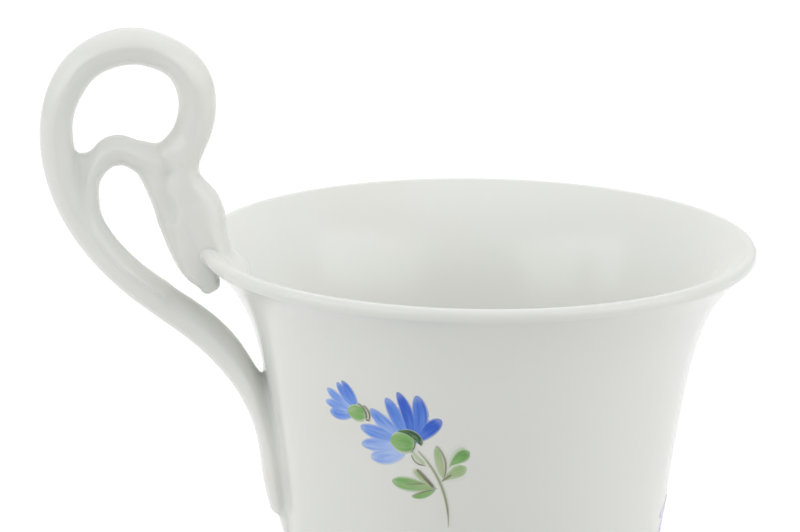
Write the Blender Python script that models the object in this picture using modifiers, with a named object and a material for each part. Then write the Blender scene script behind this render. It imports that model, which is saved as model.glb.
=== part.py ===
"""A tea cup with a high loop handle.

A bell-shaped bowl stands on a foot ring. The handle is a strap that rises from the bowl's side
into a tall loop, a scroll that braces the loop, and a leaf that sits astride the rim.
Clay pieces are joined by thin linings of slip. Sizes are in metres, +Z is up, the cup's axis is
vertical, and the handle lies in the XZ plane on the -X side.
"""

import math

import bmesh
import bpy
import numpy as np

# Bowl: a wall of even thickness along a middle line, with a round lip
RIM_RADIUS = 0.045
CUP_HEIGHT = 0.066
WALL = 0.0023
BODY_RADIUS = 0.03548
BODY_TAPER = 0.129
FLARE_LENGTH = 0.0072
BASE_RADIUS = 0.023
ROUND_HEIGHT = 0.011

# Foot ring
FOOT_RADIUS = 0.023
FOOT_WALL = 0.003
FOOT_HEIGHT = 0.005
FOOT_TAPER = 0.0008
FOOT_EASING = 0.0006

# Luting: a lining of slip with a fine gap on each side of it
GAP = 0.0003
SLIP = 0.0004
SEAM = SLIP + 2 * GAP

# Strap: half its depth for half its thickness, then the stations of its middle line.
# Low stations give depth below the rim, distance out of the wall, half thickness.
STRAP_DEPTH_RATIO = 1.45
STRAP_LOW_STATIONS = [
    (0.0446, 0.0008, 0.0018),
    (0.0335, 0.0009, 0.0021),
    (0.0278, 0.0015, 0.0022),
    (0.0228, 0.0030, 0.0023),
    (0.0183, 0.0053, 0.00255),
    (0.0141, 0.0082, 0.00265),
]
# The other stations give distance out of the rim, height above the rim, half thickness.
STRAP_STATIONS = [
    (0.0093, -0.0070, 0.00255),
    (0.0176, 0.0017, 0.0026),
    (0.0218, 0.0104, 0.0027),
    (0.0226, 0.0210, 0.0027),
    (0.0182, 0.0293, 0.0028),
    (0.0101, 0.0322, 0.0028),
    (0.0031, 0.0293, 0.00285),
    (0.0003, 0.0230, 0.00305),
    (0.0022, 0.0155, 0.00285),
]

# Scroll: stations as for the strap, between the strap's inner side and the leaf's outer edge
SCROLL_HALF_DEPTH = 0.0034
SCROLL_ROUNDING = 0.0011
SCROLL_STATIONS = [
    (0.0149, -0.0002, 0.0013),
    (0.0169, 0.0040, 0.0013),
    (0.0173, 0.0090, 0.0015),
    (0.0159, 0.0130, 0.0019),
    (0.0123, 0.0150, 0.0024),
    (0.0086, 0.0135, 0.0024),
    (0.0063, 0.0094, 0.0024),
    (0.0047, 0.0050, 0.0021),
]

# Leaf: its outline from the neck down inside the bowl, through the wall, and up outside
LEAF_HALF_DEPTH = 0.0043
LEAF_ROUNDING = 0.0016
LEAF_OUTLINE = [
    (-0.0007, 0.0116),
    (-0.0030, 0.0074),
    (-0.0044, 0.0036),
    (-0.0056, 0.0004),
    (-0.0077, -0.0031),
    (-0.0066, -0.0052),
    (-0.0026, -0.0075),
    (-0.0012, -0.0085),
    (0.0004, -0.0075),
    (0.0035, -0.0036),
    (0.0051, 0.0006),
    (0.0062, 0.0055),
    (0.0056, 0.0105),
]

# Fineness of the round forms
TURN_STEPS = 60
WALL_RINGS = 13
ROUND_RINGS = 6
LIP_POINTS = 5
RIM_CROWDING = 0.65
STRAP_SPACING = 0.0026
OUTLINE_SPACING = 0.0016
OVAL_POINTS = 14
WELD = 0.00001

# Finishes: colour and roughness
GLAZED = ((0.78, 0.79, 0.76, 1.0), 0.15)
WIPED = ((0.70, 0.69, 0.65, 1.0), 0.6)
FIRED_SLIP = ((0.66, 0.67, 0.63, 1.0), 0.4)


def clear_scene():
    for thing in list(bpy.data.objects):
        bpy.data.objects.remove(thing, do_unlink=True)


def new_collection(name):
    collection = bpy.data.collections.new(name)
    bpy.context.scene.collection.children.link(collection)
    return collection


def principled(name, colour, roughness):
    material = bpy.data.materials.new(name)
    material.use_nodes = True
    shader = material.node_tree.nodes["Principled BSDF"]
    shader.inputs["Base Color"].default_value = colour
    shader.inputs["Roughness"].default_value = roughness
    shader.inputs["Metallic"].default_value = 0.0
    return material


def smooth_route(stations, spacing):
    """Rows at even chord length on the natural cubic spline through the stations."""
    stations = np.array(stations)
    chord = np.hypot(*np.diff(stations[:, :2], axis=0).T)
    knots = np.concatenate([[0.0], np.cumsum(chord)])
    count = len(stations)
    system = np.eye(count)
    bend = np.zeros_like(stations)
    for i in range(1, count - 1):
        system[i, i - 1 : i + 2] = chord[i - 1], 2 * (chord[i - 1] + chord[i]), chord[i]
        rise = (stations[i + 1] - stations[i]) / chord[i]
        bend[i] = 6 * (rise - (stations[i] - stations[i - 1]) / chord[i - 1])
    bend = np.linalg.solve(system, bend)
    along = np.linspace(0.0, knots[-1], round(knots[-1] / spacing) + 1)
    k = np.clip(np.searchsorted(knots, along, side="right") - 1, 0, count - 2)
    span = chord[k][:, None]
    after = (along - knots[k])[:, None]
    before = span - after
    curved = (bend[k] * before**3 + bend[k + 1] * after**3) / (6 * span)
    straight_a = (stations[k] / span - bend[k] * span / 6) * before
    straight_b = (stations[k + 1] / span - bend[k + 1] * span / 6) * after
    return curved + straight_a + straight_b


def side_normals(rows):
    """Unit normals, to the right of the direction of travel, at each row of a plane route."""
    travel = np.gradient(rows[:, :2], axis=0)
    travel /= np.hypot(travel[:, 0], travel[:, 1])[:, None]
    return np.stack([travel[:, 1], -travel[:, 0]], axis=1)


def flare_rise():
    """Height of the flare's curve that brings the middle of the wall to the middle of the lip."""
    lip = WALL / 2
    widening = RIM_RADIUS - lip - BODY_RADIUS + BODY_TAPER * lip
    return widening * math.exp(lip / FLARE_LENGTH)


def wall_middle(depth):
    """Radius of the middle of the wall: an even taper with a flare that dies away from the rim."""
    return BODY_RADIUS - BODY_TAPER * depth + flare_rise() * np.exp(-depth / FLARE_LENGTH)


def bowl_middle_line():
    """Radius and height of the middle of the wall from the lip, round the base, to the axis."""
    base_level = FOOT_HEIGHT + WALL / 2
    lip = WALL / 2
    round_depth = CUP_HEIGHT - base_level - ROUND_HEIGHT
    share = np.linspace(0.0, 1.0, WALL_RINGS)
    share = RIM_CROWDING * share**2 + (1 - RIM_CROWDING) * share
    wall_depth = lip + (round_depth - lip) * share
    turn = np.linspace(0.0, math.pi / 2, ROUND_RINGS + 1)[1:]
    round_depths = round_depth + ROUND_HEIGHT * np.sin(turn)
    round_radius = BASE_RADIUS + (wall_middle(round_depths) - BASE_RADIUS) * np.cos(turn)
    radius = np.concatenate([wall_middle(wall_depth), round_radius, [0.0]])
    depth = np.concatenate([wall_depth, round_depths, round_depths[-1:]])
    return np.stack([radius, CUP_HEIGHT - depth], axis=1)


def wall_sides(half):
    """The lines at half a thickness inside and outside the middle line, each from lip to axis."""
    middle = bowl_middle_line()
    outward = -side_normals(middle)
    outward[-2:] = (0.0, -1.0)
    return middle - half * outward, middle + half * outward


def wall_outside(depth):
    """Radius of the bowl's outer surface at a depth below the rim."""
    outside = wall_sides(WALL / 2)[1][-2::-1]
    return float(np.interp(CUP_HEIGHT - depth, outside[:, 1], outside[:, 0]))


def wall_profile(extra):
    """The bowl's section, thickened by extra all round: inside upwards, over the lip, outside down."""
    half = WALL / 2 + extra
    inside, outside = wall_sides(half)
    middle = (inside + outside) / 2
    first = math.atan2(*(inside[0] - middle[0])[::-1])
    turn = first - np.linspace(0.0, math.pi, LIP_POINTS + 2)[1:-1]
    lip = middle[0] + half * np.stack([np.cos(turn), np.sin(turn)], axis=1)
    return np.concatenate([inside[::-1], lip, outside])


def mesh_object(name, collection, mesh):
    thing = bpy.data.objects.new(name, mesh)
    collection.objects.link(thing)
    return thing


def turned(name, collection, profile, closed):
    """A solid turned about the cup's axis from a profile of radius and height."""
    count = len(profile)
    points = [(radius, 0.0, height) for radius, height in profile]
    edges = [(i, i + 1) for i in range(count - 1)]
    if closed:
        edges.append((count - 1, 0))
    mesh = bpy.data.meshes.new(name)
    mesh.from_pydata(points, edges, [])
    thing = mesh_object(name, collection, mesh)
    thing.location.x = AXIS_X
    screw = thing.modifiers.new("turn", "SCREW")
    screw.axis = "Z"
    screw.steps = TURN_STEPS
    screw.render_steps = TURN_STEPS
    screw.use_merge_vertices = True
    screw.merge_threshold = WELD
    screw.use_smooth_shade = True
    return thing


def as_mesh(curve_object, collection):
    """The curve's evaluated solid as a mesh object of the same name, with its caps welded."""
    bpy.context.view_layer.update()
    graph = bpy.context.evaluated_depsgraph_get()
    mesh = bpy.data.meshes.new_from_object(curve_object.evaluated_get(graph))
    shape = bmesh.new()
    shape.from_mesh(mesh)
    bmesh.ops.remove_doubles(shape, verts=shape.verts, dist=WELD)
    bmesh.ops.recalc_face_normals(shape, faces=shape.faces)
    shape.to_mesh(mesh)
    shape.free()
    name = curve_object.name
    place = curve_object.matrix_world.copy()
    bpy.data.objects.remove(curve_object, do_unlink=True)
    thing = mesh_object(name, collection, mesh)
    thing.matrix_world = place
    return thing


def oval_section(half_thickness, half_depth):
    """A closed oval for a sweep, in the plane square to its path."""
    data = bpy.data.curves.new("oval", "CURVE")
    data.dimensions = "2D"
    spline = data.splines.new("POLY")
    spline.points.add(OVAL_POINTS - 1)
    for i, point in enumerate(spline.points):
        turn = 2 * math.pi * i / OVAL_POINTS
        point.co = (half_depth * math.cos(turn), half_thickness * math.sin(turn), 0.0, 1.0)
    spline.use_cyclic_u = True
    return bpy.data.objects.new("oval", data)


def swept(name, collection, rows, extra):
    """A bar of oval section along rows of distance from the axis, height and half thickness."""
    half = rows[:, 2].mean()
    oval = oval_section(half + extra, half * STRAP_DEPTH_RATIO + extra)
    collection.objects.link(oval)
    data = bpy.data.curves.new(name, "CURVE")
    data.dimensions = "3D"
    data.bevel_mode = "OBJECT"
    data.bevel_object = oval
    data.use_fill_caps = True
    spline = data.splines.new("POLY")
    spline.points.add(len(rows) - 1)
    for point, (out, height, thickness) in zip(spline.points, rows):
        point.co = (AXIS_X - out, 0.0, height, 1.0)
        point.radius = (thickness + extra) / (half + extra)
    bar = bpy.data.objects.new(name, data)
    collection.objects.link(bar)
    bar = as_mesh(bar, collection)
    bpy.data.objects.remove(oval, do_unlink=True)
    return bar


def plate(name, collection, outline, half_depth, rounding, extra):
    """A plate in the handle's plane with a rounded edge, larger than its outline by extra."""
    data = bpy.data.curves.new(name, "CURVE")
    data.dimensions = "2D"
    data.fill_mode = "BOTH"
    data.extrude = half_depth - rounding
    data.bevel_depth = rounding + extra
    data.bevel_resolution = 1
    data.offset = -rounding
    spline = data.splines.new("POLY")
    spline.points.add(len(outline) - 1)
    for point, (out, height) in zip(spline.points, outline):
        point.co = (AXIS_X - out, height, 0.0, 1.0)
    spline.use_cyclic_u = True
    thing = bpy.data.objects.new(name, data)
    thing.rotation_euler.x = math.pi / 2
    collection.objects.link(thing)
    return as_mesh(thing, collection)


def cut(thing, cutter, operation):
    boolean = thing.modifiers.new(cutter.name, "BOOLEAN")
    boolean.operation = operation
    boolean.solver = "EXACT"
    boolean.object = cutter


def lining(blank, outer, inner):
    """What is left of a blank between two shells that lie round the piece it is stuck to."""
    cut(blank, outer, "INTERSECT")
    cut(blank, inner, "DIFFERENCE")


def finish_piece(thing, colour, roughness):
    thing.data.materials.clear()
    thing.data.materials.append(principled(thing.name, colour, roughness))
    thing.data.shade_smooth()


def from_rim(stations):
    """Stations measured from the rim as rows measured from the axis and the foot."""
    return [(RIM_RADIUS + row[0], CUP_HEIGHT + row[1], *row[2:]) for row in stations]


def strap_route():
    low = [
        (wall_outside(depth) + out, CUP_HEIGHT - depth, half)
        for depth, out, half in STRAP_LOW_STATIONS
    ]
    return smooth_route(low + from_rim(STRAP_STATIONS), STRAP_SPACING)


def neck_of(route):
    """The strap's upper end: its middle, its direction of travel, its side and half thickness."""
    side = side_normals(route)[-1]
    travel = np.array([-side[1], side[0]])
    return route[-1, :2], travel, side, route[-1, 2]


def scroll_outline():
    rows = smooth_route(from_rim(SCROLL_STATIONS), OUTLINE_SPACING)
    reach = side_normals(rows) * rows[:, 2:3]
    return np.concatenate([rows[:, :2] + reach, (rows[:, :2] - reach)[::-1]])


def leaf_outline(route):
    """A smooth line from the neck's inner corner round to its outer corner."""
    middle, travel, side, half = neck_of(route)
    top = middle + travel * SEAM
    corners = [tuple(top + side * half), tuple(top - side * half)]
    corners.sort()
    return smooth_route([corners[0], *from_rim(LEAF_OUTLINE), corners[1]], OUTLINE_SPACING)


def foot_profile():
    """The ring's section from its inner top edge down the outside and back up the inside."""
    top = FOOT_HEIGHT - SEAM
    crown = FOOT_RADIUS - FOOT_TAPER
    inner = FOOT_RADIUS - FOOT_WALL
    return [
        (inner, top),
        (crown, top),
        (FOOT_RADIUS, FOOT_EASING),
        (FOOT_RADIUS - FOOT_EASING, 0.0),
        (inner + FOOT_EASING, 0.0),
        (inner, FOOT_EASING),
    ]


def foot_slip_profile():
    low = FOOT_HEIGHT - SEAM + GAP
    inner = FOOT_RADIUS - FOOT_WALL
    outer = FOOT_RADIUS - FOOT_TAPER
    return [(inner, low + SLIP), (outer, low + SLIP), (outer, low), (inner, low)]


clear_scene()
cup = new_collection("tea_cup")
cutters = new_collection("cutters")

ROUTE = strap_route()
HANDLE_REACH = float((ROUTE[:, 0] + ROUTE[:, 2]).max())
AXIS_X = (HANDLE_REACH - RIM_RADIUS) / 2

# Shells that lie round the bowl's wall, the strap and the leaf, at the gap, the slip and the seam
SHELLS = {"gap": GAP, "slip": GAP + SLIP, "seam": SEAM}
LEAF = leaf_outline(ROUTE)
wall_shell = {}
strap_shell = {}
leaf_shell = {}
for key, extra in SHELLS.items():
    wall_shell[key] = turned(f"wall_shell_{key}", cutters, wall_profile(extra), closed=False)
    strap_shell[key] = swept(f"strap_shell_{key}", cutters, ROUTE, extra)
    leaf_shell[key] = plate(f"leaf_shell_{key}", cutters, LEAF, LEAF_HALF_DEPTH, LEAF_ROUNDING, extra)

# Turned pieces
bowl = turned("bowl", cup, wall_profile(0.0), closed=False)
foot_ring = turned("foot_ring", cup, foot_profile(), closed=True)
foot_slip = turned("foot_slip", cup, foot_slip_profile(), closed=True)

# Strap, with its slip on the bowl's side and at the neck
handle_strap = swept("handle_strap", cup, ROUTE, 0.0)
cut(handle_strap, wall_shell["seam"], "DIFFERENCE")
strap_slip = swept("strap_slip", cup, ROUTE, 0.0)
lining(strap_slip, wall_shell["slip"], wall_shell["gap"])
neck, neck_travel, _, neck_half = neck_of(ROUTE)
neck_rows = np.array([[*(neck + neck_travel * reach), neck_half] for reach in (GAP, GAP + SLIP)])
neck_slip = swept("neck_slip", cup, neck_rows, 0.0)

# Leaf astride the rim, with its slip
rim_leaf = plate("rim_leaf", cup, LEAF, LEAF_HALF_DEPTH, LEAF_ROUNDING, 0.0)
cut(rim_leaf, wall_shell["seam"], "DIFFERENCE")
rim_slip = plate("rim_slip", cup, LEAF, LEAF_HALF_DEPTH, LEAF_ROUNDING, 0.0)
lining(rim_slip, wall_shell["slip"], wall_shell["gap"])

# Scroll between the strap and the leaf, with the slip at its two ends
SCROLL = scroll_outline()
SCROLL_SHAPE = (SCROLL, SCROLL_HALF_DEPTH, SCROLL_ROUNDING, 0.0)
handle_scroll = plate("handle_scroll", cup, *SCROLL_SHAPE)
cut(handle_scroll, strap_shell["seam"], "DIFFERENCE")
cut(handle_scroll, leaf_shell["seam"], "DIFFERENCE")
scroll_root_slip = plate("scroll_root_slip", cup, *SCROLL_SHAPE)
lining(scroll_root_slip, strap_shell["slip"], strap_shell["gap"])
scroll_tip_slip = plate("scroll_tip_slip", cup, *SCROLL_SHAPE)
lining(scroll_tip_slip, leaf_shell["slip"], leaf_shell["gap"])

for piece in (bowl, handle_strap, handle_scroll, rim_leaf):
    finish_piece(piece, *GLAZED)
finish_piece(foot_ring, *WIPED)
for piece in (foot_slip, strap_slip, neck_slip, rim_slip, scroll_root_slip, scroll_tip_slip):
    finish_piece(piece, *FIRED_SLIP)
for helper in cutters.objects:
    helper.hide_render = True
    helper.display_type = "WIRE"
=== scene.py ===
"""The looks of a porcelain tea cup with a high loop handle.

The glazed bowl and foot are turned surfaces. The handle is one blended body of glazed clay: its
strap, scroll and leaf are bars of changing section carried along plane lines, run together with
soft hollows and set against the bowl's wall. Flower sprigs are brush strokes of fired enamel that
lie on the bowl. Everything is in metres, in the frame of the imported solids; tables are in
millimetres where they say so.
"""

import math

import bpy
import numpy as np
from mathutils import Matrix, Vector


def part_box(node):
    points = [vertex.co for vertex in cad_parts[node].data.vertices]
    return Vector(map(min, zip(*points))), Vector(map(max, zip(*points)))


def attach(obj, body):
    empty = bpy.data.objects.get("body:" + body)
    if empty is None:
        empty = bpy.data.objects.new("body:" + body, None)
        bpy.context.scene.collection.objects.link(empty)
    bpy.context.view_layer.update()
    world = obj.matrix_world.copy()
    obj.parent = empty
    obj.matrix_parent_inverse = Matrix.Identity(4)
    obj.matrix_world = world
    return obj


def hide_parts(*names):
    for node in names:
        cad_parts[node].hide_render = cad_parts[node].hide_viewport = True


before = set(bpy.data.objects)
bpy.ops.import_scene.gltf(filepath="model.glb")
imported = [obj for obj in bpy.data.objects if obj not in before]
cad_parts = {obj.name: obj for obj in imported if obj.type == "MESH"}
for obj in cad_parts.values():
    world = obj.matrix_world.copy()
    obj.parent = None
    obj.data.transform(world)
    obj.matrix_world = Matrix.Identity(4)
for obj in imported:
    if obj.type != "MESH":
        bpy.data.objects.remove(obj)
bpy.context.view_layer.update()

MM = 0.001

# The cup's main sizes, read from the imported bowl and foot
BOWL_LOW, BOWL_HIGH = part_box("bowl")
FOOT_LOW, FOOT_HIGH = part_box("foot_ring")
AXIS_X = (BOWL_LOW.x + BOWL_HIGH.x) / 2
RIM_RADIUS = (BOWL_HIGH.x - BOWL_LOW.x) / 2
RIM_LEVEL = BOWL_HIGH.z
BASE_LEVEL = BOWL_LOW.z
FOOT_RADIUS = (FOOT_HIGH.x - FOOT_LOW.x) / 2

# The bowl's wall
WALL = 2.3 * MM
BODY_RADIUS = 35.48 * MM
BODY_TAPER = 0.129
FLARE_LENGTH = 7.2 * MM
BASE_RADIUS = 23 * MM
ROUND_HEIGHT = 11 * MM
TURN_STEPS = 288
WALL_RINGS = 90
ROUND_RINGS = 30
FLOOR_RINGS = 14
LIP_RINGS = 18
RIM_CROWDING = 0.65

# The foot ring
FOOT_WALL = 3 * MM
FOOT_TAPER = 0.8 * MM
FOOT_EDGE = 0.7 * MM
FOOT_FILLET = 1.6 * MM
FOOT_SINK = 0.5 * MM
FOOT_WIPE = 0.9 * MM
ARC_STEPS = 10

# How a bar's section is formed: lean of its ridge towards the outer side, power of its fall to both
# sides (under 2 leaves a soft arris, over 2 a flat face), width of the bevel along its inner edge as a
# share of the half thickness
ROUND = (0.0, 2.1, 0.0)
STRAP_FOOT = (0.1, 1.85, 0.0)
LOWER_STRAP = (-0.2, 1.55, 0.0)
LEFT_LOOP = (0.05, 1.5, 0.0)
TOP_LOOP = (0.2, 1.5, 0.0)
RIGHT_LOOP = (-0.05, 1.5, 0.0)
NECK = (0.15, 1.8, 0.0)
LEAF_TOP = (0.0, 3.6, 0.7)
LEAF_FACE = (0.0, 5.0, 0.5)
LEAF_LOW = (0.0, 4.5, 0.45)
TONGUE = (0.0, 3.2, 0.0)
CREST = (0.3, 1.7, 0.0)
# Handle lines, in millimetres: out of the rim, above the rim, half thickness, half depth, then the form
STRAP_LINE = [
    (-13.2, -43.6, 1.8, 4.7, *STRAP_FOOT),
    (-12.5, -39.5, 2.05, 5.5, *STRAP_FOOT),
    (-11.65, -33.5, 2.05, 5.5, *STRAP_FOOT),
    (-10.0, -27.8, 2.05, 5.2, *STRAP_FOOT),
    (-7.6, -22.9, 2.27, 4.7, *LOWER_STRAP),
    (-4.5, -18.35, 2.66, 4.2, *LOWER_STRAP),
    (-0.4, -14.25, 2.8, 3.9, *LOWER_STRAP),
    (9.4, -7.1, 2.6, 3.9, *LOWER_STRAP),
    (17.6, 1.7, 2.6, 3.9, *LOWER_STRAP),
    (20.1, 6.2, 2.7, 3.9, *LEFT_LOOP),
    (22.6, 15.0, 2.75, 3.9, *LEFT_LOOP),
    (22.6, 21.0, 2.65, 3.9, *LEFT_LOOP),
    (20.9, 25.8, 2.8, 4.0, *LEFT_LOOP),
    (18.2, 29.3, 2.85, 4.0, *TOP_LOOP),
    (14.4, 31.4, 2.95, 4.0, *TOP_LOOP),
    (10.1, 32.05, 2.95, 4.0, *TOP_LOOP),
    (6.5, 31.2, 2.85, 4.0, *TOP_LOOP),
    (3.1, 29.3, 2.85, 4.1, *RIGHT_LOOP),
    (0.9, 26.1, 3.05, 4.1, *RIGHT_LOOP),
    (0.3, 23.0, 3.05, 4.1, *RIGHT_LOOP),
    (0.7, 19.6, 3.05, 4.1, *RIGHT_LOOP),
    (2.0, 15.6, 2.85, 4.2, *NECK),
    (2.65, 12.0, 2.75, 4.4, *NECK),
    (2.05, 7.6, 4.45, 4.5, *LEAF_TOP),
    (0.95, 3.7, 5.2, 4.7, *LEAF_FACE),
    (0.95, 0.0, 4.25, 4.8, *LEAF_LOW),
    (0.1, -3.7, 3.05, 4.5, *TONGUE),
    (-0.75, -5.25, 2.5, 4.0, *TONGUE),
    (-1.5, -6.6, 1.8, 3.2, *TONGUE),
]
SCROLL_LINE = [
    (5.9, -8.0, 0.7, 3.4, *CREST),
    (10.9, -4.4, 0.85, 3.6, *CREST),
    (14.9, -0.2, 1.1, 3.6, *CREST),
    (16.7, 3.3, 1.15, 3.6, *CREST),
    (17.4, 6.8, 1.3, 3.5, *CREST),
    (17.3, 10.0, 1.4, 3.4, *CREST),
    (16.0, 13.0, 1.9, 3.4, *CREST),
    (14.3, 14.7, 2.4, 3.4, *CREST),
    (12.3, 15.0, 2.4, 3.4, *CREST),
    (10.4, 14.2, 2.1, 3.4, *CREST),
    (7.9, 12.7, 2.5, 3.5, *CREST),
    (6.3, 9.4, 2.4, 3.5, *ROUND),
    (4.7, 5.0, 2.1, 3.0, *ROUND),
    (3.9, 2.0, 1.6, 2.6, *ROUND),
    (2.6, -1.0, 0.9, 2.2, *ROUND),
    (1.0, -4.0, 0.4, 2.0, *ROUND),
]
TAIL_LINE = [
    (0.5, 5.0, 1.6, 4.2, *ROUND),
    (-1.6, 1.6, 2.1, 5.2, *ROUND),
    (-3.5, -1.4, 1.9, 5.8, *ROUND),
    (-5.4, -4.0, 1.5, 5.6, *ROUND),
    (-6.7, -5.8, 0.8, 4.4, *ROUND),
]
END_LINE = [
    (-14.15, -44.0, 1.25, 4.2, *ROUND),
    (-14.4, -46.4, 1.15, 3.8, *ROUND),
    (-14.75, -48.75, 0.65, 3.0, *ROUND),
    (-15.1, -51.5, 0.28, 2.0, *ROUND),
]
OUTER_WEB_LINE = [
    (18.4, 13.0, 1.4, 1.4, *ROUND),
    (18.8, 10.4, 1.5, 1.5, *ROUND),
    (18.4, 7.0, 1.4, 1.9, *ROUND),
]
INNER_WEB_LINE = [
    (8.7, 14.5, 1.2, 1.9, *ROUND),
    (6.4, 14.15, 1.7, 2.2, *ROUND),
    (4.2, 15.0, 1.8, 3.1, *ROUND),
]
# Each handle line with the width of the hollow that runs it into the ones before it
HANDLE_LINES = [
    (STRAP_LINE, 0.0),
    (SCROLL_LINE, 1.8 * MM),
    (TAIL_LINE, 2.2 * MM),
    (END_LINE, 0.8 * MM),
    (OUTER_WEB_LINE, 2.0 * MM),
    (INNER_WEB_LINE, 2.8 * MM),
]
# The bevel: fall of the depth beyond its arris, softness of the arris, share of the depth that stays
BEVEL_SLOPE = 1.15
BEVEL_SOFTNESS = 0.35 * MM
LEAST_DEPTH = 0.35
# Hollows where the clay meets the bowl: at the lip, at the wall from a depth below the rim, and inside
LIP_HOLLOW = 0.4 * MM
LIP_HOLLOW_DEPTH = 14 * MM
WALL_HOLLOW = 2.0 * MM
INNER_HOLLOW = 3.4 * MM
INNER_HOLLOW_DEPTH = 4 * MM
# Below the lip the clay ends this share of the wall outside the wall's middle
CLAY_STOP = 0.4
WALL_SHRINK = 0.012 * MM
# How finely lines and surfaces are followed
LINE_STEP = 0.35 * MM
NET_STEP = 0.3 * MM
NET_MARGIN = INNER_HOLLOW + 14 * NET_STEP
NET_MOVES = 2
LONGEST_MOVE = 0.12 * MM
LEAST_STEEPNESS = 0.2
LEAST_SPREAD = 0.3
FLATTEST = 1e-3
TINY = 1e-9
FAR = 20 * MM
WALL_REACH = FAR / 3
CLAY_REACH = FAR / 4
PROBE = 0.01 * MM
# Glaze that pools in hollows, together with painted shade there: reach of the test for a hollow, and the
# radius of a hollow that is full
POOL_PROBE = 0.4 * MM
POOL_RADIUS = 0.7 * MM


def unit(rows):
    """Rows of plane vectors brought to length 1."""
    return rows / np.hypot(rows[:, 0], rows[:, 1])[:, None]


def left_of(travel):
    """Rows of plane vectors turned a quarter to the left."""
    return np.stack([-travel[:, 1], travel[:, 0]], axis=1)


def from_axis(points):
    """Distance of points of space from the cup's axis."""
    return np.hypot(points[:, 0] - AXIS_X, points[:, 1])


def smooth_line(stations):
    """Natural cubic spline by chord length through rows of values, read at an even spacing.

    Gives the points of the plane line, its unit travel, its unit side to the right of travel,
    its bend (the curvature towards that side), the other columns and their rates along the line.
    """
    rows = MM * np.array(stations, float)
    rows[:, 4:] /= MM
    chord = np.hypot(*np.diff(rows[:, :2], axis=0).T)
    knots = np.concatenate([[0.0], np.cumsum(chord)])
    system = np.eye(len(rows))
    load = np.zeros_like(rows)
    inner = np.arange(1, len(rows) - 1)
    system[inner, inner - 1] = chord[:-1]
    system[inner, inner] = 2 * (chord[:-1] + chord[1:])
    system[inner, inner + 1] = chord[1:]
    rise = np.diff(rows, axis=0) / chord[:, None]
    load[1:-1] = 6 * np.diff(rise, axis=0)
    turning = np.linalg.solve(system, load)
    along = np.linspace(0.0, knots[-1], round(knots[-1] / LINE_STEP) + 1)
    k = np.clip(np.searchsorted(knots, along, side="right") - 1, 0, len(rows) - 2)
    span = chord[k][:, None]
    after = (along - knots[k])[:, None]
    before = span - after
    value = (turning[k] * before**3 + turning[k + 1] * after**3) / (6 * span)
    value += (rows[k] / span - turning[k] * span / 6) * before
    value += (rows[k + 1] / span - turning[k + 1] * span / 6) * after
    rate = (turning[k + 1] * after**2 - turning[k] * before**2) / (2 * span)
    rate += rise[k] - (turning[k + 1] - turning[k]) * span / 6
    second = (turning[k] * before + turning[k + 1] * after) / span
    speed = np.hypot(rate[:, 0], rate[:, 1])[:, None]
    travel = rate[:, :2] / speed
    side = -left_of(travel)
    bend = (second[:, :2] * side).sum(axis=1) / speed[:, 0] ** 2
    return value[:, :2], travel, side, bend, value[:, 2:], rate[:, 2:] / speed


def nearest_on(line, flat):
    """Foot of the perpendicular from points of the plane to a smooth line.

    From the nearest sample the line is taken as its circle of curvature: with ahead and right the
    point's place along and beside that sample, the foot lies ahead / (1 - bend * right) further on
    and the offset is right - bend * ahead * that / 2. Past an end, what is left over is the overrun.
    """
    points, travel, side, bend, values, rates = line
    k = ((points**2).sum(axis=1) - 2 * flat @ points.T).argmin(axis=1)
    gap = flat - points[k]
    ahead = (gap * travel[k]).sum(axis=1)
    right = (gap * side[k]).sum(axis=1)
    overrun = np.where(k == 0, np.maximum(-ahead, 0.0), 0.0)
    overrun += np.where(k == len(points) - 1, np.maximum(ahead, 0.0), 0.0)
    ahead = np.where(overrun > 0, 0.0, ahead)
    step = np.clip(ahead / np.maximum(1 - bend[k] * right, LEAST_SPREAD), -LINE_STEP, LINE_STEP)
    offset = right - bend[k] * ahead * step / 2
    return offset, overrun, values[k] + rates[k] * step[:, None]


def bar_gap(offset, overrun, values, depth):
    """First-order distance to a bar: 0 on its skin, negative inside.

    The section is (across / reach)**power + (depth / deep)**2 = 1, with its ridge moved by the lean.
    Beyond the arris of a bevel its depth falls evenly; the overrun past an end counts as a third
    axis, so ends are round.
    """
    half, deep, lean, power, bevel = np.moveaxis(values, -1, 0)
    ridge = lean * half
    reach = np.where(offset > ridge, half - ridge, half + ridge)
    across = np.abs(offset - ridge) / reach
    beyond = -offset - (1 - bevel) * half
    beyond = (beyond + np.sqrt(beyond**2 + BEVEL_SOFTNESS**2)) / 2
    deep = np.maximum(deep - BEVEL_SLOPE * beyond, LEAST_DEPTH * deep)
    inward = np.abs(depth) / deep
    past = overrun / half
    full = np.sqrt(across**power + inward**2 + past**2 + TINY)
    slope = np.sqrt(
        (power * across ** (power - 1) / reach) ** 2 + (2 * inward / deep) ** 2 + (2 * past / half) ** 2
    )
    return (full - 1) * 2 * full / np.maximum(slope, FLATTEST / half)


def run_together(a, b, width):
    """Smooth least of two distances: a parabola replaces the corner where they differ by under width."""
    share = np.clip(0.5 + 0.5 * (b - a) / np.maximum(width, TINY), 0.0, 1.0)
    return b + (a - b) * share - width * share * (1 - share)


def flare_rise():
    """Height of the flare's curve that brings the middle of the wall to the middle of the lip."""
    lip = WALL / 2
    return (RIM_RADIUS - lip - BODY_RADIUS + BODY_TAPER * lip) * math.exp(lip / FLARE_LENGTH)


def wall_middle(depth):
    """Radius of the middle of the wall: an even taper with a flare that dies away from the rim."""
    return BODY_RADIUS - BODY_TAPER * depth + flare_rise() * np.exp(-depth / FLARE_LENGTH)


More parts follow.
